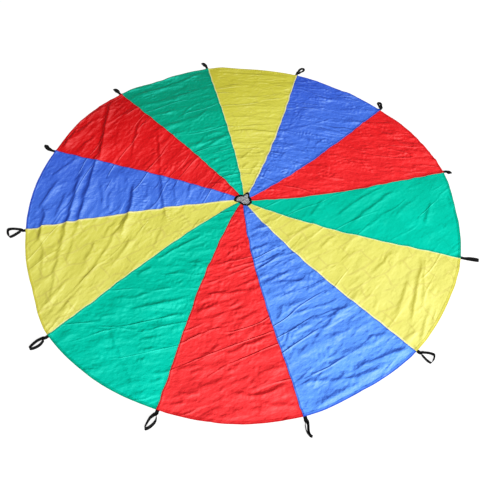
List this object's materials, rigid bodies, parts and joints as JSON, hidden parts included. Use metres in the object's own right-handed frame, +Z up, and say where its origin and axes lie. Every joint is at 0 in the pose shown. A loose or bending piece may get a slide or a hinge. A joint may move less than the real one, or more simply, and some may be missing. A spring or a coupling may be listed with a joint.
{
  "type": "play parachute",
  "caption": "Round cloth play parachute of coloured sewn panels with webbing hand loops round the rim and a small net centre, laid out flat.",
  "frame": {"origin": "on the floor under the middle of the centre net, the centre that the sizes are drawn from", "axes": "+Z up from the floor, +X to the right and +Y away from the viewer in the picture"},
  "size_m": [3.7051, 3.7145, 0.0271],
  "materials": {
    "yellow_cloth": "light woven polyester, soft sheen",
    "blue_cloth": "light woven polyester, soft sheen",
    "red_cloth": "light woven polyester, soft sheen",
    "green_cloth": "light woven polyester, soft sheen",
    "webbing": "matte woven webbing",
    "binding_tape": "matte woven tape",
    "net": "open knitted mesh"
  },
  "bodies": {
    "canopy": {"panel_1_yellow": "yellow_cloth", "panel_2_blue": "blue_cloth", "panel_3_red": "red_cloth", "panel_4_green": "green_cloth", "panel_5_yellow": "yellow_cloth", "panel_6_blue": "blue_cloth", "panel_7_red": "red_cloth", "panel_8_green": "green_cloth", "panel_9_yellow": "yellow_cloth", "panel_10_blue": "blue_cloth", "panel_11_red": "red_cloth", "panel_12_green": "green_cloth", "handle_1_tail": "webbing", "handle_2_tail": "webbing", "handle_3_tail": "webbing", "handle_4_tail": "webbing", "handle_5_tail": "webbing", "handle_6_tail": "webbing", "handle_7_tail": "webbing", "handle_8_tail": "webbing", "handle_9_tail": "webbing", "handle_10_tail": "webbing", "handle_11_tail": "webbing", "handle_12_tail": "webbing", "centre_tape_bottom": "binding_tape", "centre_net": "net", "centre_tape_top": "binding_tape"},
    "handle_1_neck": {"handle_1_neck": "webbing"},
    "handle_1_loop": {"handle_1_loop": "webbing"},
    "handle_2_neck": {"handle_2_neck": "webbing"},
    "handle_2_loop": {"handle_2_loop": "webbing"},
    "handle_3_neck": {"handle_3_neck": "webbing"},
    "handle_3_loop": {"handle_3_loop": "webbing"},
    "handle_4_neck": {"handle_4_neck": "webbing"},
    "handle_4_loop": {"handle_4_loop": "webbing"},
    "handle_5_neck": {"handle_5_neck": "webbing"},
    "handle_5_loop": {"handle_5_loop": "webbing"},
    "handle_6_neck": {"handle_6_neck": "webbing"},
    "handle_6_loop": {"handle_6_loop": "webbing"},
    "handle_7_neck": {"handle_7_neck": "webbing"},
    "handle_7_loop": {"handle_7_loop": "webbing"},
    "handle_8_neck": {"handle_8_neck": "webbing"},
    "handle_8_loop": {"handle_8_loop": "webbing"},
    "handle_9_neck": {"handle_9_neck": "webbing"},
    "handle_9_loop": {"handle_9_loop": "webbing"},
    "handle_10_neck": {"handle_10_neck": "webbing"},
    "handle_10_loop": {"handle_10_loop": "webbing"},
    "handle_11_neck": {"handle_11_neck": "webbing"},
    "handle_11_loop": {"handle_11_loop": "webbing"},
    "handle_12_neck": {"handle_12_neck": "webbing"},
    "handle_12_loop": {"handle_12_loop": "webbing"}
  },
  "joints": [
    {"name": "handle_1_flop", "type": "hinge", "parent": "canopy", "child": "handle_1_neck", "pos_m": [-0.45556, 1.74891, 0.00175], "axis": [0.9677, 0.2521, 0], "range_deg": [-90, 105]},
    {"name": "handle_1_swing", "type": "hinge", "parent": "handle_1_neck", "child": "handle_1_loop", "pos_m": [-0.4606, 1.76826, 0.0125], "axis": [0, 0, 1], "range_deg": [-80, 40]},
    {"name": "handle_2_flop", "type": "hinge", "parent": "canopy", "child": "handle_2_neck", "pos_m": [0.48082, 1.69918, 0.00175], "axis": [0.9622, -0.2723, 0], "range_deg": [-90, 105]},
    {"name": "handle_2_swing", "type": "hinge", "parent": "handle_2_neck", "child": "handle_2_loop", "pos_m": [0.48627, 1.71842, 0.0125], "axis": [0, 0, 1], "range_deg": [-36, 84]},
    {"name": "handle_3_flop", "type": "hinge", "parent": "canopy", "child": "handle_3_neck", "pos_m": [1.29148, 1.21278, 0.00175], "axis": [0.6845, -0.729, 0], "range_deg": [-90, 105]},
    {"name": "handle_3_swing", "type": "hinge", "parent": "handle_3_neck", "child": "handle_3_loop", "pos_m": [1.30606, 1.22647, 0.0125], "axis": [0, 0, 1], "range_deg": [-115, 5]},
    {"name": "handle_4_flop", "type": "hinge", "parent": "canopy", "child": "handle_4_neck", "pos_m": [1.76796, 0.41467, 0.00175], "axis": [0.2284, -0.9736, 0], "range_deg": [-90, 105]},
    {"name": "handle_4_swing", "type": "hinge", "parent": "handle_4_neck", "child": "handle_4_loop", "pos_m": [1.78744, 0.41924, 0.0125], "axis": [0, 0, 1], "range_deg": [-22, 98]},
    {"name": "handle_5_flop", "type": "hinge", "parent": "canopy", "child": "handle_5_neck", "pos_m": [1.7295, -0.49266, 0.00175], "axis": [-0.274, -0.9617, 0], "range_deg": [-90, 105]},
    {"name": "handle_5_swing", "type": "hinge", "parent": "handle_5_neck", "child": "handle_5_loop", "pos_m": [1.74873, -0.49814, 0.0125], "axis": [0, 0, 1], "range_deg": [-69, 51]},
    {"name": "handle_6_flop", "type": "hinge", "parent": "canopy", "child": "handle_6_neck", "pos_m": [1.25792, -1.28007, 0.00175], "axis": [-0.7133, -0.7009, 0], "range_deg": [-90, 105]},
    {"name": "handle_6_swing", "type": "hinge", "parent": "handle_6_neck", "child": "handle_6_loop", "pos_m": [1.27194, -1.29433, 0.0125], "axis": [0, 0, 1], "range_deg": [-77, 43]},
    {"name": "handle_7_flop", "type": "hinge", "parent": "canopy", "child": "handle_7_neck", "pos_m": [0.46303, -1.75249, 0.00175], "axis": [-0.9668, -0.2554, 0], "range_deg": [-90, 105]},
    {"name": "handle_7_swing", "type": "hinge", "parent": "handle_7_neck", "child": "handle_7_loop", "pos_m": [0.46814, -1.77183, 0.0125], "axis": [0, 0, 1], "range_deg": [-48, 72]},
    {"name": "handle_8_flop", "type": "hinge", "parent": "canopy", "child": "handle_8_neck", "pos_m": [-0.4788, -1.7502, 0.00175], "axis": [-0.9646, 0.2639, 0], "range_deg": [-90, 105]},
    {"name": "handle_8_swing", "type": "hinge", "parent": "handle_8_neck", "child": "handle_8_loop", "pos_m": [-0.48408, -1.76949, 0.0125], "axis": [0, 0, 1], "range_deg": [-57, 63]},
    {"name": "handle_9_flop", "type": "hinge", "parent": "canopy", "child": "handle_9_neck", "pos_m": [-1.3067, -1.27961, 0.00175], "axis": [-0.6997, 0.7145, 0], "range_deg": [-90, 105]},
    {"name": "handle_9_swing", "type": "hinge", "parent": "handle_9_neck", "child": "handle_9_loop", "pos_m": [-1.32099, -1.29361, 0.0125], "axis": [0, 0, 1], "range_deg": [-72, 48]},
    {"name": "handle_10_flop", "type": "hinge", "parent": "canopy", "child": "handle_10_neck", "pos_m": [-1.72431, -0.39809, 0.00175], "axis": [-0.225, 0.9744, 0], "range_deg": [-90, 105]},
    {"name": "handle_10_swing", "type": "hinge", "parent": "handle_10_neck", "child": "handle_10_loop", "pos_m": [-1.7438, -0.40259, 0.0125], "axis": [0, 0, 1], "range_deg": [-67, 53]},
    {"name": "handle_11_flop", "type": "hinge", "parent": "canopy", "child": "handle_11_neck", "pos_m": [-1.71902, 0.47673, 0.00175], "axis": [0.2672, 0.9636, 0], "range_deg": [-90, 105]},
    {"name": "handle_11_swing", "type": "hinge", "parent": "handle_11_neck", "child": "handle_11_loop", "pos_m": [-1.73829, 0.48207, 0.0125], "axis": [0, 0, 1], "range_deg": [-54, 66]},
    {"name": "handle_12_flop", "type": "hinge", "parent": "canopy", "child": "handle_12_neck", "pos_m": [-1.27856, 1.28751, 0.00175], "axis": [0.7096, 0.7046, 0], "range_deg": [-90, 105]},
    {"name": "handle_12_swing", "type": "hinge", "parent": "handle_12_neck", "child": "handle_12_loop", "pos_m": [-1.29265, 1.3017, 0.0125], "axis": [0, 0, 1], "range_deg": [-58, 62]}
  ]
}
